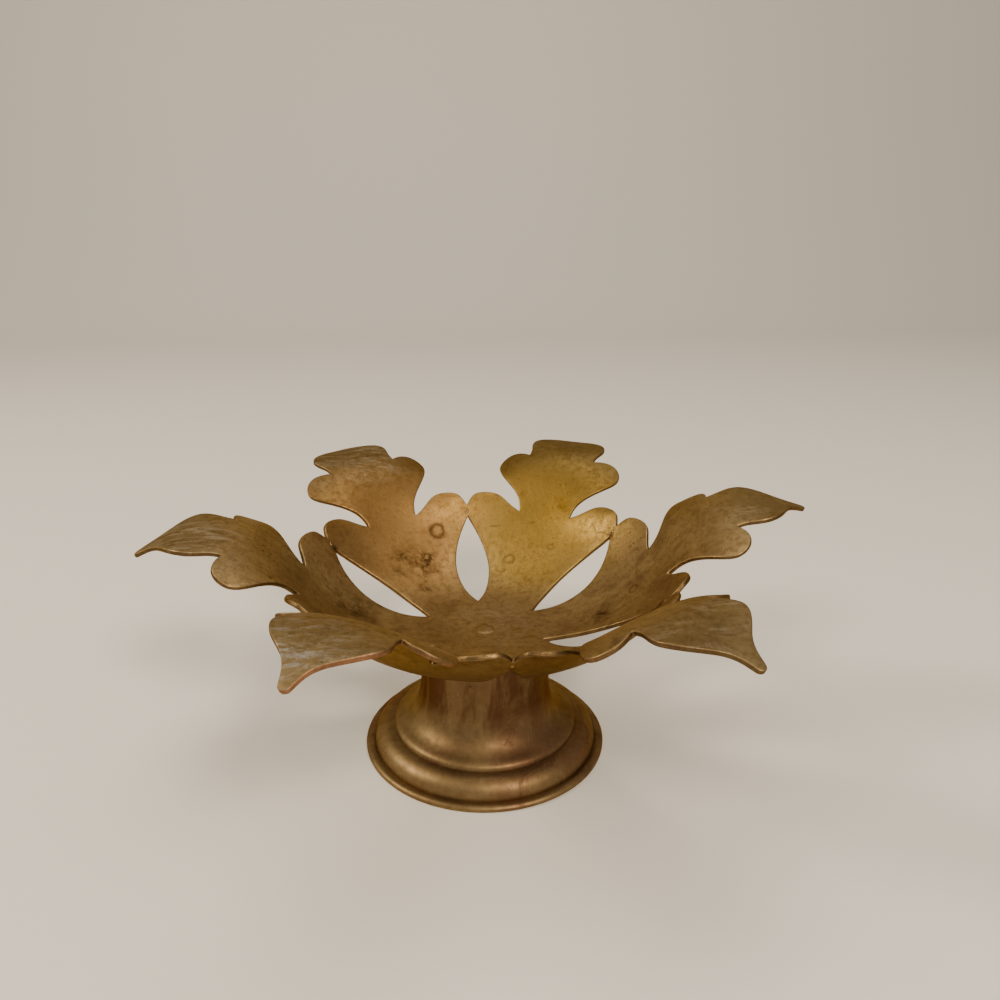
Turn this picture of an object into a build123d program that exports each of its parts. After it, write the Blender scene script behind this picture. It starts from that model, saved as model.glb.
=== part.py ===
"""Footed leaf bowl in brass.

Six pierced acanthus leaves spring from a shallow round floor and touch their
neighbours only at the shoulder lobes, where a bead of braze locks them.  The
sheet stands on a hollow turned foot and is brazed to its neck.

Millimetres, +Z up.  Origin: centre of the foot's seating ring, on the surface
the bowl stands on.  Leaf 0 points along +X; leaf k is turned 60*k degrees.
"""
import os
from math import atan2, degrees, hypot, sqrt
from build123d import *

# ---------------------------------------------------------------- dimensions
N_LEAVES = 6
SHEET_T = 1.6                 # thickness of the leaf sheet

# Height of the sheet's upper face above the table against distance from the
# axis (the shallow dish, common to all leaves).
DISH = [(0.0, 43.90), (12.0, 44.12), (22.2, 44.85), (32.0, 46.46),
        (43.0, 50.66), (53.0, 56.91), (62.0, 65.44), (66.0, 70.40),
        (72.0, 77.50), (80.0, 84.50), (88.0, 87.80), (97.0, 88.35),
        (107.0, 87.35), (117.0, 83.60)]
# Cross-camber of each leaf: added height = CAMBER(x) * t^2.
CAMBER = [(60.0, 0.0), (68.0, -0.0051), (76.0, -0.0091), (86.0, -0.0074),
          (97.0, 0.0010), (112.0, 0.0028)]

# Half outline of one leaf in plan (x along the leaf, t across it).
EYE_IN = (19.23, 11.10)       # inner point of the pierced eye, on the boundary
EYE = [(24.5, 11.15), (29.9, 12.0), (35.2, 13.5), (40.4, 15.8), (45.0, 19.0),
       (48.6, 22.6), (51.4, 26.6)]
EYE_OUT = (53.60, 30.95)      # outer point of the eye, on the boundary
LOBE_END = (56.35, 32.53)     # outer end of the lobe contact
SHOULDER = [(59.7, 31.6), (62.7, 29.2), (64.9, 25.6), (65.4, 21.8),
            (64.4, 17.8), (63.3, 14.2)]
NECK = (62.7, 11.0)           # notch between shoulder and side lobe
SIDE = [(65.0, 11.9), (67.6, 14.3), (70.1, 17.9), (73.1, 22.0), (76.8, 25.5),
        (80.9, 27.1), (84.6, 25.9), (86.7, 22.6), (86.7, 18.8)]
TIP_NOTCH = (85.2, 14.7)      # notch between side lobe and tip
TIP = [(88.6, 15.0), (92.2, 16.1), (95.9, 16.4), (99.4, 14.9), (102.6, 12.0),
       (105.6, 8.4), (108.4, 5.2), (111.6, 3.0), (114.6, 1.9), (115.9, 1.2)]
APEX = (116.4, 0.0)

HALF_W = 36.0                 # half width of the sheet the leaf is cut from
STATIONS = [-6.0, 0.0, 8.0, 16.0, 24.0, 32.0, 40.0, 47.0, 53.0, 58.0, 63.0,
            68.0, 73.0, 79.0, 86.0, 93.0, 100.0, 107.0, 113.0, 120.0]

PIP_R = 2.9                   # small turned pip at the centre of the floor
PIP_RISE = 0.35               # above the floor
PIP_UNDER = 0.25              # below the sheet
PIP_CHAMFER = 0.15

BEAD_RHO = 63.45              # braze bead between two shoulder lobes
BEAD_LONG, BEAD_R = 1.6, 1.2

FOOT_TOP = 42.6               # top of the foot's neck
RING_TOP = 43.8               # braze ring, before the sheet is cut out of it
# Outer contour of the foot, table to neck (r, z).
RIM_R = 44.2
RIM = [(RIM_R, 0.0), (RIM_R, 1.1), (43.6, 1.75), (41.9, 2.0)]
GROOVE_1 = (41.0, 1.75)
TORUS = [(40.75, 3.1), (39.9, 5.2), (38.2, 6.9), (36.0, 7.9)]
GROOVE_2 = (33.7, 8.1)
BEAD_RING = [(33.4, 9.1), (32.3, 10.1), (30.6, 10.9)]
COVE = [(28.0, 12.6), (25.7, 15.6), (24.2, 19.6), (23.45, 25.0), (23.2, 31.5)]
NECK_TOP = (23.5, FOOT_TOP)
FOOT_WALL = 2.0
# ---------------------------------------------------------------------------


def natural_spline(points, start_slope=None):
    """Cubic spline through (x, y) points; natural ends, optional start slope."""
    n = len(points)
    xs = [p[0] for p in points]
    ys = [p[1] for p in points]
    h = [xs[i + 1] - xs[i] for i in range(n - 1)]
    a, b, c, r = [0.0] * n, [1.0] * n, [0.0] * n, [0.0] * n
    for i in range(1, n - 1):
        a[i], b[i], c[i] = h[i - 1], 2 * (h[i - 1] + h[i]), h[i]
        r[i] = 6 * ((ys[i + 1] - ys[i]) / h[i] - (ys[i] - ys[i - 1]) / h[i - 1])
    if start_slope is not None:
        b[0], c[0] = 2 * h[0], h[0]
        r[0] = 6 * ((ys[1] - ys[0]) / h[0] - start_slope)
    for i in range(1, n):
        m = a[i] / b[i - 1]
        b[i] -= m * c[i - 1]
        r[i] -= m * r[i - 1]
    k = [0.0] * n
    k[-1] = r[-1] / b[-1]
    for i in range(n - 2, -1, -1):
        k[i] = (r[i] - c[i] * k[i + 1]) / b[i]

    def value(x):
        x = min(max(x, xs[0]), xs[-1])
        i = 0
        while i < n - 2 and x > xs[i + 1]:
            i += 1
        u, w = x - xs[i], xs[i + 1] - x
        return ((k[i] * w ** 3 + k[i + 1] * u ** 3) / (6 * h[i])
                + (ys[i] / h[i] - k[i] * h[i] / 6) * w
                + (ys[i + 1] / h[i] - k[i + 1] * h[i] / 6) * u)
    return value


dish = natural_spline(DISH, 0.0)
camber = natural_spline(CAMBER, 0.0)


def top_z(x, t):
    """Height of the sheet's upper face."""
    z = dish(hypot(x, t))
    if x > CAMBER[0][0]:
        z += camber(x) * t * t
    return z


def under(x, t):
    """Point of the lower face: SHEET_T below the upper face along its normal."""
    e = 0.05
    gx = (top_z(x + e, t) - top_z(x - e, t)) / (2 * e)
    gt = (top_z(x, t + e) - top_z(x, t - e)) / (2 * e)
    n = sqrt(1 + gx * gx + gt * gt)
    return (x + SHEET_T * gx / n, t + SHEET_T * gt / n, top_z(x, t) - SHEET_T / n)


def under_z(x, t):
    """Height of the lower face straight above the plan point (x, t)."""
    px, pt = x, t
    for _ in range(12):
        ux, ut, uz = under(px, pt)
        px += x - ux
        pt += t - ut
    return under(px, pt)[2]


def slab_section(x):
    """Closed section of the sheet across the leaf at distance x."""
    ts = [HALF_W * j / 6.0 for j in range(-6, 7)]
    up = [Vector(x, t, top_z(x, t)) for t in ts]
    lo = [Vector(x, t, under_z(x, t)) for t in ts]
    return Wire([Edge.make_spline(up), Edge.make_line(up[-1], lo[-1]),
                 Edge.make_spline(lo[::-1]), Edge.make_line(lo[0], up[0])])


def plan_outline():
    def side(s):
        m = lambda p: Vector(p[0], p[1] * s)
        return [Edge.make_line(m((0, 0)), m(EYE_IN)),
                Edge.make_spline([m(p) for p in [EYE_IN] + EYE + [EYE_OUT]]),
                Edge.make_line(m(EYE_OUT), m(LOBE_END)),
                Edge.make_spline([m(p) for p in [LOBE_END] + SHOULDER + [NECK]]),
                Edge.make_spline([m(p) for p in [NECK] + SIDE + [TIP_NOTCH]]),
                Edge.make_spline([m(p) for p in [TIP_NOTCH] + TIP + [APEX]])]
    return Face(Wire(side(1) + side(-1)))


def make_leaf():
    slab = Solid.make_loft([slab_section(x) for x in STATIONS])
    prism = Solid.extrude(plan_outline(), Vector(0, 0, 70)).moved(Location((0, 0, 34)))
    return max((slab & prism).solids(), key=lambda q: q.volume)


def revolve_pts(pts):
    """Revolve a closed (r, z) polygon/spline list of edges about Z."""
    return Solid.revolve(Face(Wire(pts)), 360, Axis.Z)


def rz(p):
    return Vector(p[0], 0, p[1])


def make_foot():
    outer = [Edge.make_line(rz(RIM[0]), rz(RIM[1])),
             Edge.make_spline([rz(p) for p in RIM[1:] + [GROOVE_1]]),
             Edge.make_spline([rz(p) for p in [GROOVE_1] + TORUS + [GROOVE_2]]),
             Edge.make_spline([rz(p) for p in [GROOVE_2] + BEAD_RING + COVE + [NECK_TOP]])]
    w = FOOT_WALL
    inner_pts = [(NECK_TOP[0] - w, FOOT_TOP), (COVE[4][0] - w, COVE[4][1]),
                 (COVE[3][0] - w, COVE[3][1]), (COVE[2][0] - w, COVE[2][1]),
                 (COVE[1][0] - w * 0.9, COVE[1][1] - w * 0.45),
                 (COVE[0][0] - w * 0.6, COVE[0][1] - w * 0.85),
                 (31.2, 8.4), (34.5, 6.1), (37.4, 5.0), (38.9, 3.2), (39.4, 0.0)]
    inner = [Edge.make_line(rz(NECK_TOP), rz(inner_pts[0])),
             Edge.make_spline([rz(p) for p in inner_pts]),
             Edge.make_line(rz(inner_pts[-1]), rz(RIM[0]))]
    return revolve_pts(outer + inner)


def make_bead(k):
    """Braze bead on the boundary plane after leaf k."""
    slope = (dish(BEAD_RHO + 0.5) - dish(BEAD_RHO - 0.5))
    l = sqrt(1 + slope * slope)
    ux, uz = 1 / l, slope / l
    cx = BEAD_RHO + uz * SHEET_T / 2
    cz = dish(BEAD_RHO) - ux * SHEET_T / 2
    prof = Face(Wire([Edge.make_spline([Vector(-BEAD_LONG, 0, 0), Vector(-BEAD_LONG * 0.8, BEAD_R * 0.6, 0),
                                        Vector(0, BEAD_R, 0), Vector(BEAD_LONG * 0.8, BEAD_R * 0.6, 0),
                                        Vector(BEAD_LONG, 0, 0)],
                                       tangents=[Vector(0, 1, 0), Vector(0, -1, 0)]),
                      Edge.make_line((BEAD_LONG, 0, 0), (-BEAD_LONG, 0, 0))]))
    b = Solid.revolve(prof, 360, Axis.X)
    b = b.moved(Location((0, 0, 0), (0, -degrees(atan2(uz, ux)), 0)))
    b = b.moved(Location((cx, 0, cz)))
    return b.moved(Location((0, 0, 0), (0, 0, 60.0 * k + 30.0)))


def make_pip():
    top, low = dish(0.0) + PIP_RISE, dish(0.0) - SHEET_T - PIP_UNDER
    pts = [(0.0, low), (PIP_R, low), (PIP_R, top - PIP_CHAMFER), (PIP_R - PIP_CHAMFER, top), (0.0, top)]
    return revolve_pts([Edge.make_line(rz(pts[i]), rz(pts[(i + 1) % 5])) for i in range(5)])


os.makedirs("parts", exist_ok=True)

core = Solid.make_cylinder(PIP_R - 0.5, 60.0).moved(Location((0, 0, 20)))
one = make_leaf() - core - make_bead(0) - make_bead(5)
one = max(one.solids(), key=lambda s: s.volume)
leaves = [one.moved(Location((0, 0, 0), (0, 0, 60.0 * k))) for k in range(N_LEAVES)]
bowl = leaves[0].fuse(*leaves[1:], tol=0.05).fix()
bowl = max(bowl.solids(), key=lambda s: s.volume)
bowl = bowl.fuse(make_pip())
bowl = max(bowl.solids(), key=lambda s: s.volume)
beads = [make_bead(k) for k in range(N_LEAVES)]

foot = make_foot()
ring = Solid.revolve(Face(Wire([
    Edge.make_line((21.9, 0, FOOT_TOP), (23.4, 0, FOOT_TOP)),
    Edge.make_spline([Vector(23.4, 0, FOOT_TOP), Vector(24.0, 0, FOOT_TOP + 0.35), Vector(24.6, 0, RING_TOP)]),
    Edge.make_line((24.6, 0, RING_TOP), (21.9, 0, RING_TOP)),
    Edge.make_line((21.9, 0, RING_TOP), (21.9, 0, FOOT_TOP))])), 360, Axis.Z)
ring = max((ring - bowl - foot).solids(), key=lambda s: s.volume)

leaf_bowl = bowl
leaf_bowl.label = "leaf_bowl"
foot.label = "pedestal_foot"
ring.label = "neck_braze"
bead_group = Compound(children=beads, label="lobe_braze_beads")

export_step(leaf_bowl, "parts/leaf_bowl.step")
export_step(foot, "parts/pedestal_foot.step")
export_step(ring, "parts/neck_braze.step")
export_step(bead_group, "parts/lobe_braze_beads.step")
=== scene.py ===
import math
import bpy
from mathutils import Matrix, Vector
from mathutils.geometry import delaunay_2d_cdt
from mathutils import noise as mnoise


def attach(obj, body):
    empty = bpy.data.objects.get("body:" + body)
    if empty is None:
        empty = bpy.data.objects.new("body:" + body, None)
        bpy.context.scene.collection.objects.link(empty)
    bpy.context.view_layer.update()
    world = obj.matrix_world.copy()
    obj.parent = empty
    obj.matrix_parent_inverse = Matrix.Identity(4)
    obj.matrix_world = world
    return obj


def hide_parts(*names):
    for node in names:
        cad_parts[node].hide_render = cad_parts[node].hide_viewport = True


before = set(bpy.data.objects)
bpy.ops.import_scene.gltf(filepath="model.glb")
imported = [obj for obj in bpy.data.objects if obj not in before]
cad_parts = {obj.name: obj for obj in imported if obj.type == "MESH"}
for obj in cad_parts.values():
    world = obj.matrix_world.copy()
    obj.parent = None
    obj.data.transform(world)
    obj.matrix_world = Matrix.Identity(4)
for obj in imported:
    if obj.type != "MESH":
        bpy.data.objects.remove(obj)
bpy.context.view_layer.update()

MM = 0.001
T = 1.6 * MM
TH = 1.6

# ---------------------------------------------------------------- shape data
DISH = [(0.0, 43.90), (12.0, 44.12), (22.2, 44.85), (32.0, 46.46),
        (43.0, 50.66), (53.0, 56.91), (62.0, 65.44), (66.0, 70.40),
        (72.0, 77.50), (80.0, 84.50), (88.0, 87.80), (97.0, 88.35),
        (107.0, 87.35), (117.0, 83.60)]
CAMBER = [(60.0, 0.0), (68.0, -0.0051), (76.0, -0.0091), (86.0, -0.0074),
          (97.0, 0.0010), (112.0, 0.0028)]
EYE_IN = (19.23, 11.10)
EYE = [(24.5, 11.15), (29.9, 12.0), (35.2, 13.5), (40.4, 15.8), (45.0, 19.0),
       (48.6, 22.6), (51.4, 26.6)]
EYE_OUT = (53.60, 30.95)
LOBE_END = (56.35, 32.53)
SHOULDER = [(59.7, 31.6), (62.7, 29.2), (64.9, 25.6), (65.4, 21.8),
            (64.4, 17.8), (63.3, 14.2)]
NECK = (62.7, 11.0)
SIDE = [(65.0, 11.9), (67.6, 14.3), (70.1, 17.9), (73.1, 22.0), (76.8, 25.5),
        (80.9, 27.1), (84.6, 25.9), (86.7, 22.6), (86.7, 18.8)]
TIP_NOTCH = (85.2, 14.7)
TIP = [(88.6, 15.0), (92.2, 16.1), (95.9, 16.4), (99.4, 14.9), (102.6, 12.0),
       (105.6, 8.4), (108.4, 5.2), (111.6, 3.0), (114.6, 1.9), (115.9, 1.2)]
APEX = (116.3, 0.0)
# How each leaf was bent by hand: slope past the shoulders, lift of the tip,
# twist, sideways lean, reach of the tip.
LEAF_SET = [(0.002, 0.95, 0.008, 0.013, 0.93), (0.012, 0.04, 0.001, 0.007, 0.17),
            (-0.004, 0.04, -0.053, 0.035, 0.17), (-0.046, -0.63, -0.030, 0.031, -0.52),
            (0.044, -0.83, -0.055, 0.002, -1.19), (-0.010, 0.42, 0.032, -0.089, 0.36)]
BEAD_RHO = 63.45


def nat(points, slope=None):
    n = len(points)
    xs = [p[0] for p in points]; ys = [p[1] for p in points]
    h = [xs[i + 1] - xs[i] for i in range(n - 1)]
    a, b, c, r = [0.0] * n, [1.0] * n, [0.0] * n, [0.0] * n
    for i in range(1, n - 1):
        a[i], b[i], c[i] = h[i - 1], 2 * (h[i - 1] + h[i]), h[i]
        r[i] = 6 * ((ys[i + 1] - ys[i]) / h[i] - (ys[i] - ys[i - 1]) / h[i - 1])
    if slope is not None:
        b[0], c[0] = 2 * h[0], h[0]
        r[0] = 6 * ((ys[1] - ys[0]) / h[0] - slope)
    for i in range(1, n):
        m = a[i] / b[i - 1]
        b[i] -= m * c[i - 1]; r[i] -= m * r[i - 1]
    k = [0.0] * n
    k[-1] = r[-1] / b[-1]
    for i in range(n - 2, -1, -1):
        k[i] = (r[i] - c[i] * k[i + 1]) / b[i]

    def value(x):
        x = min(max(x, xs[0]), xs[-1])
        i = 0
        while i < n - 2 and x > xs[i + 1]:
            i += 1
        u, w = x - xs[i], xs[i + 1] - x
        return ((k[i] * w ** 3 + k[i + 1] * u ** 3) / (6 * h[i])
                + (ys[i] / h[i] - k[i] * h[i] / 6) * w
                + (ys[i + 1] / h[i] - k[i + 1] * h[i] / 6) * u)
    return value


dish = nat(DISH, 0.0)
camber = nat(CAMBER, 0.0)


def top_z(x, t):
    z = dish(math.hypot(x, t))
    if x > 60.0:
        z += camber(x) * t * t
    return z


def nrm(x, t):
    e = 0.05
    gx = (top_z(x + e, t) - top_z(x - e, t)) / (2 * e)
    gt = (top_z(x, t + e) - top_z(x, t - e)) / (2 * e)
    n = math.sqrt(1 + gx * gx + gt * gt)
    return (-gx / n, -gt / n, 1 / n)


def place(x, t, depth, k):
    """Point at plan (x, t), depth mm under the upper face, on leaf k, in mm."""
    nx, nt, nz = nrm(x, t)
    px, pt, pz = x - nx * depth, t - nt * depth, top_z(x, t) - nz * depth
    sl, lift, twist, lean, reach = LEAF_SET[k]
    u = max(0.0, px - 60.0)
    v = max(0.0, (px - 90.0) / 20.0)
    w = min(1.0, max(0.0, (px - 57.0) / 20.0))
    w = w * w * (3 - 2 * w)
    pz += sl * u + lift * v * v + twist * pt * w
    pt += lean * u
    px += reach * v
    # the left side lobe of leaf 4 is rolled in a little
    if k == 4 and pt < -12.0:
        pt += 0.13 * (-pt - 12.0) * w
    # small turned pip in the middle of the floor
    pr = math.hypot(px, pt)
    if pr < 3.6:
        pz += 0.35 * (1.0 - min(1.0, max(0.0, (pr - 2.5) / 0.9))) * (1.0 - depth / TH)
    # slow hand-made waviness of the sheet
    a = math.radians(60 * k)
    wx, wy = px * math.cos(a) - pt * math.sin(a), px * math.sin(a) + pt * math.cos(a)
    f = min(1.0, max(0.0, (math.hypot(px, pt) - 25.0) / 45.0))
    pz += 0.25 * f * mnoise.noise(Vector((wx * 0.045, wy * 0.045, 1.7)))
    return (wx, wy, pz)


def resample(points, step):
    """Even points on a parametric natural spline through 2-D points."""
    s = [0.0]
    for p, q in zip(points, points[1:]):
        s.append(s[-1] + math.hypot(q[0] - p[0], q[1] - p[1]))
    fx = nat([(u, p[0]) for u, p in zip(s, points)])
    fy = nat([(u, p[1]) for u, p in zip(s, points)])
    n = max(2, int(round(s[-1] / step)))
    return [(fx(s[-1] * i / n), fy(s[-1] * i / n)) for i in range(n + 1)]


STEP = 0.75
R_EDGE = 0.45


def chains():
    eye = resample([EYE_IN] + EYE + [EYE_OUT], STEP)
    sh = resample([LOBE_END] + SHOULDER + [NECK], STEP)
    sd = resample([NECK] + SIDE + [TIP_NOTCH], STEP)
    tp = resample([TIP_NOTCH] + TIP + [APEX], STEP)
    half = sh[:-1] + sd[:-1] + tp
    outer = half + [(x, -t) for x, t in reversed(half[:-1])]
    # run counter-clockwise about the leaf's material: start at (0,0), go out on -30
    eye_neg = [(x, -t) for x, t in eye]                 # A' -> B'
    outer_ccw = list(reversed(outer))                   # C' ... apex ... C
    eye_pos = list(reversed(eye))                       # B -> A
    return eye_neg, outer_ccw, eye_pos


def inset(chain, first_dir, last_dir):
    """Inward unit offsets along a counter-clockwise chain (material on the left)."""
    out = []
    n = len(chain)
    for i, p in enumerate(chain):
        if i == 0:
            out.append(first_dir); continue
        if i == n - 1:
            out.append(last_dir); continue
        a, b = chain[i - 1], chain[i + 1]
        d1 = (p[0] - a[0], p[1] - a[1]); l1 = math.hypot(*d1)
        d2 = (b[0] - p[0], b[1] - p[1]); l2 = math.hypot(*d2)
        n1 = (-d1[1] / l1, d1[0] / l1); n2 = (-d2[1] / l2, d2[0] / l2)
        m = (n1[0] + n2[0], n1[1] + n2[1]); l = math.hypot(*m) or 1.0
        m = (m[0] / l, m[1] / l)
        c = max(0.6, m[0] * n1[0] + m[1] * n1[1])
        out.append((m[0] / c, m[1] / c))
    return out


def hill(v, az):
    """Smooth 0..1 weight for the side of the bowl that faces azimuth az."""
    r = math.hypot(v[0], v[1])
    c = (v[0] * math.cos(math.radians(az)) + v[1] * math.sin(math.radians(az))) / (r + 8.0)
    return max(0.0, min(1.0, (c - 0.62) / 0.30))


def build_bowl():
    C30, S30 = math.cos(math.radians(30)), math.sin(math.radians(30))
    e1, oc, e2 = chains()
    seam_p, seam_n = (C30, S30), (C30, -S30)
    ch = [(e1, inset(e1, (-seam_n[0], -seam_n[1]), seam_n)),
          (oc, inset(oc, (-seam_n[0], -seam_n[1]), (-seam_p[0], -seam_p[1]))),
          (e2, inset(e2, seam_p, (-seam_p[0], -seam_p[1])))]
    rings = []                       # (inset distance, depth)
    nr = 5
    for i in range(nr + 1):
        a = math.pi / 2 * i / nr
        rings.append((R_EDGE * (1 - math.sin(a)), R_EDGE * (1 - math.cos(a))))
    for i in range(nr, -1, -1):
        a = math.pi / 2 * i / nr
        rings.append((R_EDGE * (1 - math.sin(a)), TH - R_EDGE * (1 - math.cos(a))))
    # inner polygon (inset by R_EDGE) for the faces
    loop = [(0.0, 0.0)]
    tagged = [None]
    def seam_pts(p, q, m):
        return [(p[0] + (q[0] - p[0]) * i / m, p[1] + (q[1] - p[1]) * i / m) for i in range(1, m)]
    chain_idx = []
    prev = (0.0, 0.0)
    counts = [26, 2, 2, 26]
    for ci, (c, d) in enumerate(ch):
        ins = [(p[0] + v[0] * R_EDGE, p[1] + v[1] * R_EDGE) for p, v in zip(c, d)]
        for sp in seam_pts(prev, ins[0], counts[ci]):
            loop.append(sp)
        start = len(loop)
        loop += ins
        chain_idx.append((start, len(ins)))
        prev = ins[-1]
    for sp in seam_pts(prev, (0.0, 0.0), counts[3]):
        loop.append(sp)
    nl = len(loop)
    # interior points
    def inside(x, y):
        c = False
        j = nl - 1
        for i in range(nl):
            xi, yi = loop[i]; xj, yj = loop[j]
            if (yi > y) != (yj > y) and x < (xj - xi) * (y - yi) / (yj - yi) + xi:
                c = not c
            j = i
        return c
    G = 1.7
    pts = []
    ix = 0
    x = 1.0
    while x < 116:
        off = 0.5 * G if ix % 2 else 0.0
        m = int(33 / G)
        for j in range(-m, m + 1):
            t = j * G + off
            if math.hypot(x, t) > 4.9 and inside(x, t):
                dmin = min((x - q[0]) ** 2 + (t - q[1]) ** 2 for q in loop)
                if dmin > (0.55 * G) ** 2:
                    pts.append((x, t))
        ix += 1
        x += G * 0.866
    # finer rings round the pip
    for r, c in ((1.3, 2), (2.0, 3), (2.5, 4), (2.95, 5), (3.4, 5), (4.1, 6)):
        for j in range(c):
            a = math.radians(-30 + 60 * (j + 0.5) / c)
            pts.append((r * math.cos(a), r * math.sin(a)))
    coords = [Vector(p) for p in loop + pts]
    res = delaunay_2d_cdt(coords, [], [list(range(nl))], 1, 1e-6)
    vco, faces = res[0], res[2]
    orig = res[3]
    # map loop index -> cdt vertex
    where = {}
    for vi, src in enumerate(orig):
        for o in src:
            where[o] = vi
    verts, polys, edge_w, leaf_of, rim_w = [], [], [], [], []
    for k in range(6):
        base_t = len(verts)
        for v in vco:
            verts.append(place(v.x, v.y, 0.0, k)); edge_w.append(0.0); rim_w.append(0.0); leaf_of.append((k, v.x, v.y))
        base_b = len(verts)
        for v in vco:
            verts.append(place(v.x, v.y, TH, k)); edge_w.append(0.8); rim_w.append(0.0); leaf_of.append((k, v.x, v.y))
        for f in faces:
            a = list(f)
            # orientation
            p, q, r = vco[a[0]], vco[a[1]], vco[a[2]]
            ccw = (q.x - p.x) * (r.y - p.y) - (q.y - p.y) * (r.x - p.x) > 0
            if not ccw:
                a.reverse()
            polys.append([base_t + i for i in a])
            polys.append([base_b + i for i in reversed(a)])
        for (start, cnt), (c, d) in zip(chain_idx, ch):
            prev_ids = [base_t + where[start + i] for i in range(cnt)]
            for ri, (ins_d, dep) in enumerate(rings[1:], 1):
                if ri == len(rings) - 1:
                    ids = [base_b + where[start + i] for i in range(cnt)]
                else:
                    ids = []
                    for p, v in zip(c, d):
                        x, t = p[0] + v[0] * ins_d, p[1] + v[1] * ins_d
                        ids.append(len(verts))
                        verts.append(place(x, t, dep, k)); leaf_of.append((k, x, t))
                        edge_w.append(1.0 if ri >= 4 else (0.3 if ri == 3 else 0.0)); rim_w.append(1.0 if ri in (2, 3) else 0.0)
                for i in range(cnt - 1):
                    polys.append([prev_ids[i], ids[i], ids[i + 1], prev_ids[i + 1]])
                prev_ids = ids
    me = bpy.data.meshes.new("leaf_bowl_sheet")
    me.from_pydata([(a * MM, b * MM, c * MM) for a, b, c in verts], [], polys)
    me.update()
    # attributes: edge (weight of the painted shade on the sheet's edges and underside), radius along leaf, per-leaf
    # value
    for name, vals in (("edge", edge_w), ("rim", rim_w), ("along", [q[1] / 116.0 for q in leaf_of]),
                       ("gold", [hill(v, 60.0) for v in verts]), ("copper", [hill(v, 122.0) for v in verts]),
                       ("front_left", [hill(v, -115.0) for v in verts])):
        at = me.attributes.new(name, "FLOAT", "POINT")
        at.data.foreach_set("value", vals)
    ob = bpy.data.objects.new("leaf_bowl_sheet", me)
    bpy.context.scene.collection.objects.link(ob)
    import bmesh
    bm = bmesh.new(); bm.from_mesh(me)
    bmesh.ops.remove_doubles(bm, verts=bm.verts, dist=2e-5)
    bmesh.ops.recalc_face_normals(bm, faces=bm.faces)
    print("bowl verts", len(bm.verts), "faces", len(bm.faces), "open edges", sum(1 for e in bm.edges if len(e.link_faces) != 2))
    bm.to_mesh(me); bm.free()
    for p in me.polygons:
        p.use_smooth = True
    return ob


# ---------------------------------------------------------------- foot
FOOT_TOP = 42.6
RIM_R = 44.2


def spline_pts(points, step):
    return resample(points, step)


def build_foot():
    outer = [(RIM_R - 0.5, 0.0), (RIM_R - 0.12, 0.18), (RIM_R, 0.55), (RIM_R, 1.1)]
    outer += spline_pts([(RIM_R, 1.1), (43.6, 1.75), (41.9, 2.0), (41.0, 1.75)], 0.25)[1:]
    outer += spline_pts([(41.0, 1.80), (40.85, 2.9), (39.9, 5.2), (38.2, 6.9), (36.0, 7.9), (33.7, 8.1)], 0.45)[1:]
    outer += spline_pts([(33.7, 8.1), (33.4, 9.1), (32.3, 10.1), (30.6, 10.9), (28.0, 12.6), (25.7, 15.6),
                         (24.2, 19.6), (23.45, 25.0), (23.2, 31.5), (23.35, 38.0), (23.5, FOOT_TOP)], 0.5)[1:]
    inner = spline_pts([(21.5, FOOT_TOP), (21.2, 31.5), (21.45, 25.0), (22.2, 19.6), (23.9, 14.7), (26.8, 10.9),
                        (31.2, 8.4), (34.5, 6.1), (37.4, 5.0), (38.9, 3.2), (39.4, 0.0)], 0.9)
    prof = outer + inner
    n = 192
    verts, polys = [], []
    for j in range(n):
        a = 2 * math.pi * j / n
        for r, z in prof:
            verts.append((r * math.cos(a) * MM, r * math.sin(a) * MM, z * MM))
    m = len(prof)
    for j in range(n):
        j2 = (j + 1) % n
        for i in range(m):
            i2 = (i + 1) % m
            polys.append([j * m + i, j2 * m + i, j2 * m + i2, j * m + i2])
    me = bpy.data.meshes.new("pedestal")
    me.from_pydata(verts, [], polys)
    me.update()
    for p in me.polygons:
        p.use_smooth = True
    import bmesh
    bm = bmesh.new(); bm.from_mesh(me)
    bmesh.ops.recalc_face_normals(bm, faces=bm.faces)
    for e in bm.edges:
        if e.calc_face_angle(0.0) > math.radians(38):
            e.smooth = False
    bm.to_mesh(me); bm.free()
    ob = bpy.data.objects.new("pedestal", me)
    bpy.context.scene.collection.objects.link(ob)
    return ob


bowl = build_bowl()
foot = build_foot()


def blob(name, center, ax, ay, az, sizes, seed, rough=0.18, sub=4):
    """Irregular drop of filler metal: a sphere pushed in and out by noise."""
    import bmesh
    bm = bmesh.new()
    bmesh.ops.create_icosphere(bm, subdivisions=sub, radius=1.0)
    for v in bm.verts:
        d = 1.0 + rough * mnoise.noise(Vector(v.co) * 1.6 + Vector((seed * 3.1, seed, 0)))
        d += rough * 0.35 * mnoise.noise(Vector(v.co) * 5.0 + Vector((seed * 1.3, 2 * seed, 0)))
        p = v.co * d
        v.co = center + ax * (p.x * sizes[0]) + ay * (p.y * sizes[1]) + az * (p.z * sizes[2])
    me = bpy.data.meshes.new(name)
    bm.to_mesh(me); bm.free()
    for p in me.polygons:
        p.use_smooth = True
    ob = bpy.data.objects.new(name, me)
    bpy.context.scene.collection.objects.link(ob)
    return ob


beads = []
slope = dish(BEAD_RHO + 0.5) - dish(BEAD_RHO - 0.5)
L = math.hypot(1.0, slope)
for k in range(6):
    a = math.radians(60 * k + 30)
    er = Vector((math.cos(a), math.sin(a), 0)); et = Vector((-math.sin(a), math.cos(a), 0)); ez = Vector((0, 0, 1))
    along = (er + ez * slope) / L
    up = (ez - er * slope) / L
    c = (er * (BEAD_RHO) + ez * dish(BEAD_RHO) - up * 0.8) * MM
    b = blob("lobe_bead_%d" % k, c, along, et, up, (1.55 * MM, 0.95 * MM, 0.98 * MM), 3 + k)
    beads.append(b)


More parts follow.
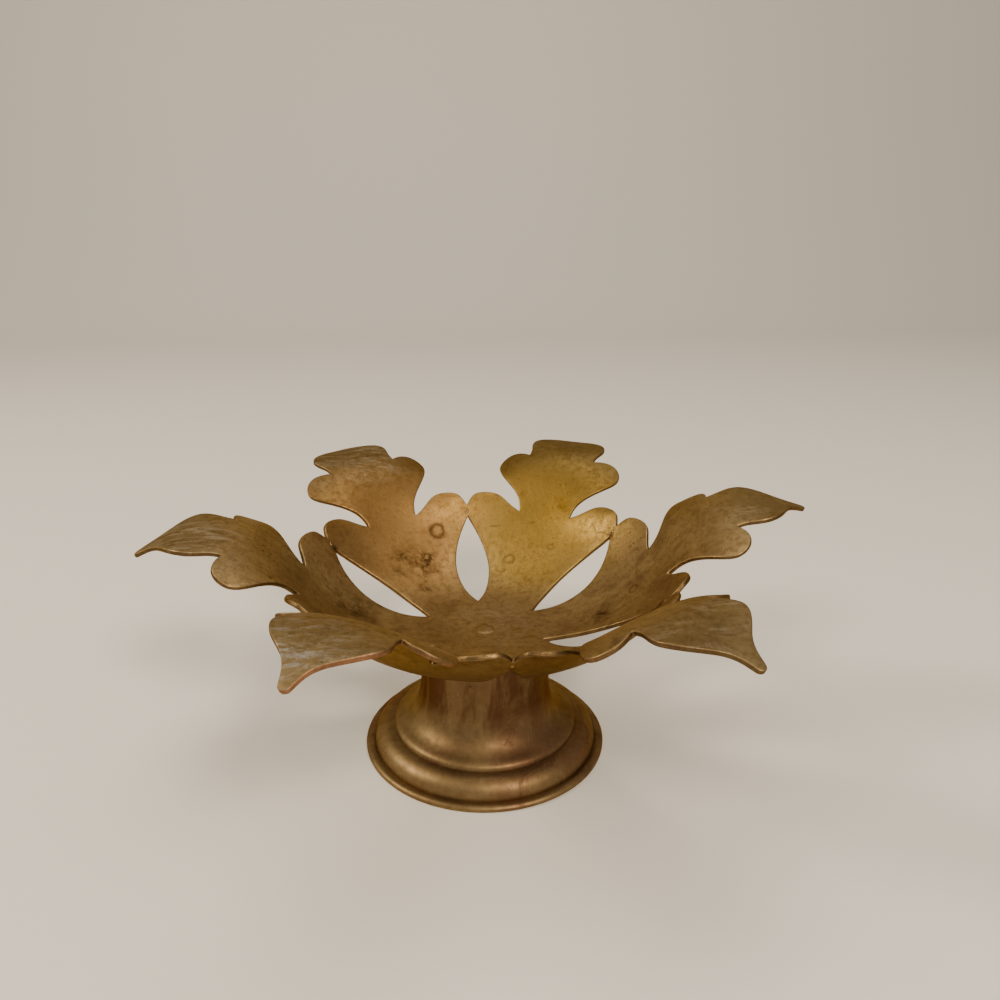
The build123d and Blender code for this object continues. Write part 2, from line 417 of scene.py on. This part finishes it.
def ring_blob():
    """Ring of filler metal between neck and sheet, with a few lumps."""
    verts, polys = [], []
    n, m = 240, 14
    for j in range(n):
        a = 2 * math.pi * j / n
        lump = 0.16 * mnoise.noise(Vector((math.cos(a) * 5, math.sin(a) * 5, 0.3)))
        lump += 0.22 * max(0.0, mnoise.noise(Vector((math.cos(a) * 2.2, math.sin(a) * 2.2, 4.0))))
        rr = 0.62 + lump
        cr, cz = 23.2, 43.0
        for i in range(m):
            b = 2 * math.pi * i / m
            r = cr + rr * 1.15 * math.cos(b)
            z = cz + rr * 0.8 * math.sin(b)
            verts.append((r * math.cos(a) * MM, r * math.sin(a) * MM, z * MM))
    for j in range(n):
        j2 = (j + 1) % n
        for i in range(m):
            i2 = (i + 1) % m
            polys.append([j * m + i, j2 * m + i, j2 * m + i2, j * m + i2])
    me = bpy.data.meshes.new("neck_braze_ring")
    me.from_pydata(verts, [], polys)
    for p in me.polygons:
        p.use_smooth = True
    ob = bpy.data.objects.new("neck_braze_ring", me)
    bpy.context.scene.collection.objects.link(ob)
    return ob


ring = ring_blob()


# ---------------------------------------------------------------- materials
class Nodes:
    """Small helper round a material's node tree."""

    def __init__(self, name):
        self.m = bpy.data.materials.new(name)
        self.m.use_nodes = True
        self.nt = self.m.node_tree
        self.nt.nodes.clear()
        self.out = self.nt.nodes.new("ShaderNodeOutputMaterial")
        self.bs = self.nt.nodes.new("ShaderNodeBsdfPrincipled")
        self.nt.links.new(self.bs.outputs[0], self.out.inputs[0])
        self.obj = self.nt.nodes.new("ShaderNodeTexCoord").outputs["Object"]

    def put(self, value, socket):
        if isinstance(value, (int, float)):
            socket.default_value = value
        elif isinstance(value, tuple):
            socket.default_value = value
        else:
            self.nt.links.new(value, socket)

    def noise(self, sc, det=4.0, ro=0.55, dist=0.0, src=None):
        n = self.nt.nodes.new("ShaderNodeTexNoise")
        n.inputs["Scale"].default_value = sc
        n.inputs["Detail"].default_value = det
        n.inputs["Roughness"].default_value = ro
        n.inputs["Distortion"].default_value = dist
        self.nt.links.new(src or self.obj, n.inputs["Vector"])
        return n.outputs["Fac"]

    def ramp(self, src, stops):
        r = self.nt.nodes.new("ShaderNodeValToRGB")
        el = r.color_ramp.elements
        g = lambda v: v if isinstance(v, tuple) else (v, v, v, 1)
        el[0].position, el[0].color = stops[0][0], g(stops[0][1])
        el[1].position, el[1].color = stops[-1][0], g(stops[-1][1])
        for p, c in stops[1:-1]:
            e = el.new(p); e.color = g(c)
        self.nt.links.new(src, r.inputs["Fac"])
        return r.outputs["Color"]

    def mix(self, fac, a, b, mode="MIX"):
        x = self.nt.nodes.new("ShaderNodeMix"); x.data_type = "RGBA"; x.blend_type = mode
        x.clamp_factor = True
        self.put(fac, x.inputs[0]); self.put(a, x.inputs[6]); self.put(b, x.inputs[7])
        return x.outputs[2]

    def math(self, op, a, b=0.0, clamp=False):
        x = self.nt.nodes.new("ShaderNodeMath"); x.operation = op; x.use_clamp = clamp
        self.put(a, x.inputs[0]); self.put(b, x.inputs[1])
        return x.outputs[0]

    def mul(self, a, b): return self.math("MULTIPLY", a, b)
    def add(self, a, b): return self.math("ADD", a, b)
    def sub(self, a, b): return self.math("SUBTRACT", a, b)

    def attr(self, n):
        x = self.nt.nodes.new("ShaderNodeAttribute"); x.attribute_name = n
        return x.outputs["Fac"]

    def mapped(self, rot, scale):
        mp = self.nt.nodes.new("ShaderNodeMapping")
        mp.inputs["Rotation"].default_value = rot
        mp.inputs["Scale"].default_value = scale
        self.nt.links.new(self.obj, mp.inputs["Vector"])
        return mp.outputs[0]

    def distance(self, point_mm, wobble=0.0, sc=120.0):
        """Distance in mm to a point, its contour broken up by noise."""
        v = self.nt.nodes.new("ShaderNodeVectorMath"); v.operation = "DISTANCE"
        self.nt.links.new(self.obj, v.inputs[0])
        v.inputs[1].default_value = tuple(c * MM for c in point_mm)
        d = self.mul(v.outputs["Value"], 1000.0)
        if wobble:
            d = self.add(d, self.mul(self.sub(self.noise(sc, 4, 0.6), 0.5), wobble))
        return d

    def spot(self, point_mm, r0, r1, wobble=0.0, sc=120.0):
        """1 inside r0 mm, 0 outside r1 mm."""
        return self.ramp(self.mul(self.distance(point_mm, wobble, sc), 0.02), [(r0 * 0.02, 1), (r1 * 0.02, 0)])

    def ring(self, point_mm, r, w, wobble=0.0, sc=120.0):
        return self.ramp(self.mul(self.distance(point_mm, wobble, sc), 0.02),
                         [((r - w) * 0.02, 0), (r * 0.02, 1), ((r + w) * 0.02, 0)])

    def finish(self, col, rough, height, bump, dist=0.0015):
        self.put(col, self.bs.inputs["Base Color"])
        self.put(rough, self.bs.inputs["Roughness"])
        bp = self.nt.nodes.new("ShaderNodeBump")
        bp.inputs["Strength"].default_value = bump
        bp.inputs["Distance"].default_value = dist
        self.nt.links.new(height, bp.inputs["Height"])
        self.nt.links.new(bp.outputs[0], self.bs.inputs["Normal"])
        return self.m


BROWN = (0.058, 0.026, 0.009, 1)


def aged(n, base, pale, brown, blot=0.75, pits=0.8, sc=1.0):
    """Colour, roughness and height that all the brass shares."""
    big = n.noise(14 * sc, 3, 0.5)
    med = n.noise(46 * sc, 5, 0.62, 0.7)
    fine = n.noise(420 * sc, 3, 0.6)
    grit = n.noise(1300 * sc, 2, 0.6)
    col = n.mix(n.ramp(big, [(0.36, 0), (0.66, 1)]), pale, base)
    col = n.mix(n.ramp(med, [(0.42, 0), (0.70, 0.85)]), col, brown)
    col = n.mix(n.mul(n.ramp(fine, [(0.45, 0), (0.75, 1)]), 0.40), col, brown)
    spk = n.noise(230 * sc, 8, 0.78, 0.4)
    col = n.mix(n.mul(n.ramp(spk, [(0.50, 0), (0.66, 1)]), 0.42), col, brown)
    col = n.mix(n.mul(n.ramp(spk, [(0.34, 1), (0.46, 0)]), 0.22), col, (0.40, 0.30, 0.13, 1))
    # brown blotches in a few areas
    blm = n.mul(n.ramp(n.noise(75 * sc, 6, 0.68, 1.2), [(0.57, 0), (0.68, 1)]),
                n.ramp(n.noise(20 * sc, 2, 0.5), [(0.50, 0), (0.64, 1)]))
    col = n.mix(n.mul(blm, blot), col, BROWN)
    # pits
    vo = n.nt.nodes.new("ShaderNodeTexVoronoi")
    vo.inputs["Scale"].default_value = 420 * sc
    n.nt.links.new(n.obj, vo.inputs["Vector"])
    pf = n.mul(n.ramp(vo.outputs["Distance"], [(0.10, 1), (0.22, 0)]),
               n.ramp(n.noise(60 * sc, 3, 0.6), [(0.56, 0), (0.66, 1)]))
    col = n.mix(n.mul(pf, pits), col, (0.022, 0.012, 0.006, 1))
    # hairline scratches
    s1 = n.ramp(n.noise(30, 4, 0.7, 0.0, n.mapped((0.2, 0.1, 0.5), (46.0, 1.0, 1.0))), [(0.60, 0), (0.70, 1)])
    s2 = n.ramp(n.noise(26, 4, 0.7, 0.0, n.mapped((0.1, -0.3, 2.1), (42.0, 1.0, 1.0))), [(0.61, 0), (0.72, 1)])
    scr = n.mul(n.math("MAXIMUM", s1, s2), n.ramp(n.noise(35, 2, 0.5), [(0.42, 0), (0.60, 1)]))
    col = n.mix(n.mul(scr, 0.26), col, (0.50, 0.37, 0.18, 1))
    rough = n.add(n.mul(big, 0.14), n.mul(fine, 0.20))
    rough = n.add(rough, n.add(n.mul(blm, 0.12), n.mul(pf, 0.2)))
    h = n.add(n.mul(fine, 0.10), n.mul(grit, 0.05))
    h = n.add(h, n.mul(n.noise(30 * sc, 3, 0.5), 0.9))
    h = n.sub(h, n.add(n.mul(pf, 0.35), n.mul(scr, 0.03)))
    return col, rough, h


def leaf_brass():
    n = Nodes("aged_leaf_brass")
    n.bs.inputs["Metallic"].default_value = 1.0
    n.bs.inputs["Specular Tint"].default_value = (0.62, 0.48, 0.32, 1)
    col, rough, h = aged(n, (0.335, 0.222, 0.092, 1), (0.375, 0.262, 0.112, 1), (0.190, 0.114, 0.048, 1))
    al, ed, rim = n.attr("along"), n.attr("edge"), n.attr("rim")
    gold, copper, front_left = n.attr("gold"), n.attr("copper"), n.attr("front_left")
    inner = n.ramp(al, [(0.16, 0), (0.34, 1), (0.58, 1), (0.84, 0)])
    dim = n.mul(n.math("MAXIMUM", gold, copper), n.ramp(al, [(0.50, 0), (0.64, 0.66)]))
    col = n.mix(n.mul(n.mul(gold, inner), 0.80), col, n.mix(n.noise(50, 5, 0.6, 0.6), (0.37, 0.225, 0.022, 1), (0.29, 0.165, 0.022, 1)))
    col = n.mix(n.mul(n.mul(copper, inner), 0.72), col, n.mix(n.noise(44, 5, 0.6, 0.6), (0.43, 0.215, 0.058, 1), (0.30, 0.145, 0.038, 1)))
    col = n.mix(dim, col, n.mix(gold, (0.150, 0.078, 0.020, 1), (0.150, 0.090, 0.014, 1)))
    # tips: duller and greyer, with pale water marks drawn out sideways
    tip = n.ramp(al, [(0.64, 0), (0.86, 1)])
    col = n.mix(n.mul(tip, 0.62), col, n.mix(n.noise(70, 5, 0.65), (0.222, 0.166, 0.082, 1), (0.120, 0.086, 0.040, 1)))
    streak = n.noise(60, 6, 0.72, 1.0, n.mapped((0.0, 0.0, 0.25), (1.0, 3.4, 1.0)))
    water = n.mul(n.mul(n.ramp(streak, [(0.50, 0), (0.60, 1), (0.70, 0.25), (0.8, 0)]), tip), n.ramp(n.noise(26, 2, 0.5), [(0.42, 0), (0.62, 1)]))
    col = n.mix(n.mul(water, 0.34), col, (0.40, 0.35, 0.26, 1))
    for p, r0, r1, f, tone in (((-98.0, -9.0, 87.0), 4, 24, 0.62, (0.52, 0.45, 0.33, 1)), ((-42.0, 82.0, 88.0), 4, 22, 0.46, (0.46, 0.40, 0.27, 1)),
                         ((-58.5, -79.5, 90.8), 2, 17, 0.60, (0.42, 0.40, 0.37, 1)), ((-47.0, -89.0, 89.0), 3, 14, 0.34, (0.46, 0.42, 0.34, 1)),
                         ((-60.0, -92.0, 88.0), 2, 12, 0.55, (0.36, 0.35, 0.34, 1)), ((60.0, -76.0, 89.0), 3, 20, 0.20, (0.40, 0.33, 0.22, 1)),
                         ((92.0, -5.0, 88.0), 3, 15, 0.30, (0.42, 0.34, 0.22, 1)), ((-46.0, 18.0, 57.0), 2, 20, 0.20, (0.42, 0.33, 0.22, 1))):
        fine_w = n.noise(120, 7, 0.78, 1.4, n.mapped((0.0, 0.0, 0.3), (0.55, 2.3, 1.0)))
        m_ = n.mul(n.spot(p, r0, r1, 10, 90), n.ramp(fine_w, [(0.49, 0), (0.60, 1)]))
        col = n.mix(n.mul(m_, f), col, tone)
    # floor of the dish: brown, with a pale patch near the middle
    floor_m = n.ramp(al, [(0.10, 1), (0.34, 0)])
    col = n.mix(n.mul(floor_m, 0.45), col, (0.230, 0.138, 0.052, 1))
    pale_patch = n.mul(n.spot((6.7, 2.0, 44.1), 4, 24, 14, 50), n.ramp(n.noise(95, 6, 0.7, 0.6), [(0.40, 0), (0.68, 1)]))
    col = n.mix(n.mul(pale_patch, 0.42), col, (0.50, 0.40, 0.26, 1))
    # marks
    for p, r, w, wb, f in (((-13.5, 56.3, 61.1), 2.9, 1.5, 3.0, 0.85), ((15.1, 43.5, 52.3), 2.0, 0.9, 2.2, 0.50),
                           ((32.3, 42.5, 57.2), 1.3, 0.8, 2.0, 0.40), ((53.9, -1.7, 57.6), 1.8, 0.8, 1.8, 0.55)):
        col = n.mix(n.mul(n.ring(p, r, w, wb, 260), f), col, BROWN)
    for p, r0, r1, wb, sc, f in (((-20.3, 42.4, 53.0), 2.5, 9.5, 13.0, 230, 0.95), ((-28.5, 43.4, 55.8), 1.2, 5.5, 8.0, 280, 0.80),
                                 ((-19.7, 30.5, 47.8), 0.8, 3.8, 6.0, 330, 0.95), ((-29.5, 35.6, 52.4), 0.8, 4.2, 7.0, 300, 0.80),
                                 ((-47.1, 4.8, 53.2), 1.0, 12.0, 16.0, 190, 0.95), ((-38.0, 14.0, 50.5), 0.5, 7.0, 12.0, 210, 0.60),
                                 ((41.1, -4.8, 49.9), 0.8, 7.0, 12.0, 260, 0.90), ((-71.0, -15.6, 75.6), 0.5, 1.1, 0.5, 400, 0.95),
                                 ((60.0, 12.0, 64.0), 0.2, 6.0, 11.0, 220, 0.45)):
        m_ = n.mul(n.spot(p, r0, r1, wb, sc), n.ramp(n.noise(sc * 1.3, 5, 0.7, 0.8), [(0.36, 0), (0.60, 1)]))
        col = n.mix(n.mul(m_, f), col, BROWN)
    # sheet edges and underside: painted shade in dark brown, with a thin rubbed line along the upper arris
    col = n.mix(n.mul(ed, 0.66), col, (0.085, 0.046, 0.020, 1))
    rubbed = n.mul(n.mul(rim, n.sub(1.0, n.mul(front_left, 0.75))), n.ramp(n.noise(60, 4, 0.6), [(0.40, 0.0), (0.66, 1)]))
    col = n.mix(n.mul(rubbed, 0.45), col, (0.42, 0.27, 0.12, 1))
    # painted copper highlight along the edges and upper arris of the front-left leaves, outer part
    cop = n.mul(n.mul(front_left, n.ramp(al, [(0.58, 0), (0.67, 1)])), n.math("MAXIMUM", ed, rim))
    col = n.mix(n.mul(cop, n.ramp(n.noise(55, 4, 0.6), [(0.42, 0.15), (0.62, 0.8)])), col, (0.36, 0.175, 0.095, 1))
    # painted copper highlight on the front shoulder lobes, over face and edges
    for p, r0, r1, f in (((-24.1, -69.2, 77.3), 1, 8, 0.55), ((-19.5, -69.6, 75.0), 1, 7, 0.60), ((26.5, -58.4, 67.9), 1, 7, 0.40)):
        m_ = n.mul(n.spot(p, r0, r1, 4, 140), n.add(n.mul(n.math("MAXIMUM", ed, rim), 0.6), 0.4))
        col = n.mix(n.mul(m_, f), col, (0.52, 0.28, 0.15, 1))
    # dark flux stains where the lobes meet at the eyes
    for k in (0, 1, 2, 3, 4, 5):
        aa = math.radians(60 * k + 30)
        q = (62.2 * math.cos(aa), 62.2 * math.sin(aa), dish(62.2))
        col = n.mix(n.mul(n.spot(q, 0.3, 2.3, 2.0, 330), 0.85 if k != 1 else 0.25), col, (0.045, 0.022, 0.010, 1))
    # a scratched line on one back leaf
    seg = n.add(n.distance((7.7, 57.9, 61.6)), n.distance((30.0, 53.3, 64.5)))
    seg = n.add(n.sub(seg, 22.95), n.mul(n.sub(n.noise(420, 4, 0.7), 0.5), 0.06))
    seg = n.mul(n.ramp(seg, [(0.030, 1), (0.058, 0)]), n.ramp(n.noise(180, 3, 0.6), [(0.40, 0), (0.55, 1)]))
    col = n.mix(n.mul(seg, 0.60), col, BROWN)
    # fine mottling over everything
    mott = n.noise(430, 9, 0.80, 0.3)
    shade = n.ramp(mott, [(0.40, (1.10, 1.10, 1.06, 1)), (0.50, (0.97, 0.95, 0.92, 1)), (0.60, (0.74, 0.69, 0.61, 1))])
    col = n.mix(1.0, col, shade, "MULTIPLY")
    h = n.sub(h, n.mul(n.ramp(mott, [(0.50, 0), (0.62, 1)]), 0.12))
    rough = n.add(rough, 0.27)
    rough = n.add(rough, n.mul(tip, 0.08))
    rough = n.add(rough, n.mul(water, 0.15))
    rough = n.sub(rough, n.mul(rubbed, 0.10))
    return n.finish(col, rough, h, 0.22)


def foot_brass():
    n = Nodes("aged_foot_brass")
    n.bs.inputs["Metallic"].default_value = 1.0
    n.bs.inputs["Specular Tint"].default_value = (0.58, 0.42, 0.26, 1)
    col, rough, h = aged(n, (0.245, 0.158, 0.070, 1), (0.272, 0.190, 0.084, 1), (0.150, 0.080, 0.036, 1), blot=0.55, pits=0.7)
    sp = n.nt.nodes.new("ShaderNodeSeparateXYZ"); n.nt.links.new(n.obj, sp.inputs[0])
    zz = sp.outputs[2]
    # reddish brown stain running down the neck, dull neck, cleaner mouldings
    neck = n.ramp(n.mul(zz, 20.0), [(0.30, 0), (0.46, 1)])
    run = n.noise(40, 5, 0.65, 0.8, n.mapped((0, 0, 0), (2.2, 2.2, 0.45)))
    col = n.mix(n.mul(neck, 0.60), col, (0.125, 0.070, 0.032, 1))
    col = n.mix(n.mul(n.mul(neck, n.ramp(run, [(0.44, 0), (0.56, 1)])), 0.80), col, (0.085, 0.034, 0.015, 1))
    col = n.mix(n.mul(n.ramp(n.noise(22, 3, 0.5), [(0.52, 0), (0.68, 1)]), 0.35), col, (0.235, 0.110, 0.060, 1))
    # darker in the two grooves, at 1.75 mm and 8.2 mm up
    groove = n.math("MAXIMUM", n.ramp(n.mul(n.math("ABSOLUTE", n.sub(zz, 0.00175)), 100.0), [(0.01, 1), (0.06, 0)]),
                    n.ramp(n.mul(n.math("ABSOLUTE", n.sub(zz, 0.0082)), 100.0), [(0.01, 1), (0.07, 0)]))
    col = n.mix(n.mul(groove, n.mul(n.noise(80, 4, 0.6), 0.25)), col, (0.07, 0.038, 0.018, 1))
    rad = n.math("SQRT", n.add(n.mul(sp.outputs[0], sp.outputs[0]), n.mul(sp.outputs[1], sp.outputs[1])))
    cb = n.nt.nodes.new("ShaderNodeCombineXYZ")
    n.nt.links.new(rad, cb.inputs[0]); n.nt.links.new(zz, cb.inputs[1])
    lines = n.noise(2600, 2, 0.6, 0.0, cb.outputs[0])
    h = n.add(h, n.mul(lines, 0.05))
    rough = n.add(n.add(rough, 0.29), n.mul(lines, 0.05))
    return n.finish(col, rough, h, 0.18)


def braze():
    n = Nodes("braze_metal")
    n.bs.inputs["Metallic"].default_value = 1.0
    n.bs.inputs["Specular Tint"].default_value = (0.42, 0.26, 0.10, 1)
    col, rough, h = aged(n, (0.30, 0.165, 0.070, 1), (0.34, 0.215, 0.085, 1), (0.110, 0.055, 0.026, 1), sc=2.0, pits=1.0)
    sp = n.nt.nodes.new("ShaderNodeSeparateXYZ"); n.nt.links.new(n.obj, sp.inputs[0])
    low = n.ramp(n.mul(sp.outputs[2], 10.0), [(0.48, 1), (0.52, 0)])
    col = n.mix(n.mul(low, n.ramp(n.noise(120, 4, 0.6), [(0.50, 0), (0.70, 0.7)])), col, (0.36, 0.16, 0.10, 1))
    return n.finish(col, n.add(rough, 0.26), h, 0.5)


leaf_mat = leaf_brass()
foot_mat = foot_brass()
bead_mat = braze()
bowl.data.materials.append(leaf_mat)
foot.data.materials.append(foot_mat)
ring.data.materials.append(bead_mat)
for b in beads:
    b.data.materials.append(bead_mat)

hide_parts("leaf_bowl")
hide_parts("pedestal_foot")
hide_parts("neck_braze")
for b in beads:
    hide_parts("lobe_braze_beads")
for o, s in [(bowl, "leaf_brass"), (foot, "foot_brass"), (ring, "braze")] + [(b, "braze") for b in beads]:
    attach(o, "root")


# ---------------------------------------------------------------- stage
def plane(name, verts, col, rough=0.6):
    me = bpy.data.meshes.new(name)
    me.from_pydata(verts[0], [], verts[1])
    ob = bpy.data.objects.new(name, me)
    bpy.context.scene.collection.objects.link(ob)
    m = bpy.data.materials.new(name)
    m.use_nodes = True
    b = m.node_tree.nodes["Principled BSDF"]
    b.inputs["Base Color"].default_value = col
    b.inputs["Roughness"].default_value = rough
    me.materials.append(m)
    for p in me.polygons:
        p.use_smooth = True
    return ob


# floor that sweeps up behind
sv, sf = [], []
prof = [(-1.6, 0.0)]
R = 0.5
for i in range(17):
    a = math.pi / 2 * i / 16
    prof.append((1.1 + R * math.sin(a), R - R * math.cos(a)))
prof.append((1.6, 2.4))
for i, (y, z) in enumerate(prof):
    sv += [(-2.2, y, z), (2.2, y, z)]
    if i:
        sf.append([2 * i - 2, 2 * i - 1, 2 * i + 1, 2 * i])
plane("floor", (sv, sf), (0.80, 0.745, 0.66, 1), 0.55)


# ---------------------------------------------------------------- camera
DELTA = math.radians(-7.9)
F_PX = 809.0
PITCH, ROLL, YAW = 18.86, 0.31, -0.02
CAM = Vector((-0.2 + 5.48, -261.2 - 0.48, 182.77)) * MM
pt, ro, yw = math.radians(PITCH), math.radians(ROLL), math.radians(YAW)
fwd = Vector((math.sin(yw) * math.cos(pt), math.cos(yw) * math.cos(pt), -math.sin(pt)))
right = Vector((math.cos(yw), -math.sin(yw), 0))
up = right.cross(fwd)
r2 = math.cos(ro) * right + math.sin(ro) * up
u2 = -math.sin(ro) * right + math.cos(ro) * up
from mathutils import Matrix
rot = Matrix(((r2.x, u2.x, -fwd.x), (r2.y, u2.y, -fwd.y), (r2.z, u2.z, -fwd.z)))
turn = Matrix.Rotation(DELTA, 4, "Z")
cd = bpy.data.cameras.new("camera")
cd.sensor_width = 36.0
cd.lens = 36.0 * F_PX / 1000.0
cd.clip_start = 0.01
cam = bpy.data.objects.new("camera", cd)
bpy.context.scene.collection.objects.link(cam)
cam.matrix_world = turn @ (Matrix.Translation(CAM) @ rot.to_4x4())
bpy.context.scene.camera = cam


# ---------------------------------------------------------------- light
def area(name, loc, target, size, power, col, size_y=None):
    ld = bpy.data.lights.new(name, "AREA")
    ld.shape = "RECTANGLE"
    ld.size = size
    ld.size_y = size_y or size
    ld.energy = power
    ld.color = col
    o = bpy.data.objects.new(name, ld)
    bpy.context.scene.collection.objects.link(o)
    loc = turn @ Vector(loc); target = turn @ Vector(target)
    o.location = loc
    o.rotation_euler = (target - loc).to_track_quat("-Z", "Y").to_euler()
    return o


area("key", (0.50, -0.85, 0.95), (0, 0, 0.06), 0.30, 12, (1.0, 0.90, 0.76))
area("left", (-1.0, -0.12, 0.85), (0, 0, 0.06), 0.32, 9, (1.0, 0.90, 0.74))
area("top", (0.1, 0.25, 1.5), (0, 0, 0.0), 1.0, 7, (1.0, 0.95, 0.88))
w = bpy.data.worlds.new("studio")
w.use_nodes = True
w.node_tree.nodes["Background"].inputs["Color"].default_value = (0.90, 0.84, 0.75, 1)
w.node_tree.nodes["Background"].inputs["Strength"].default_value = 0.46
bpy.context.scene.world = w
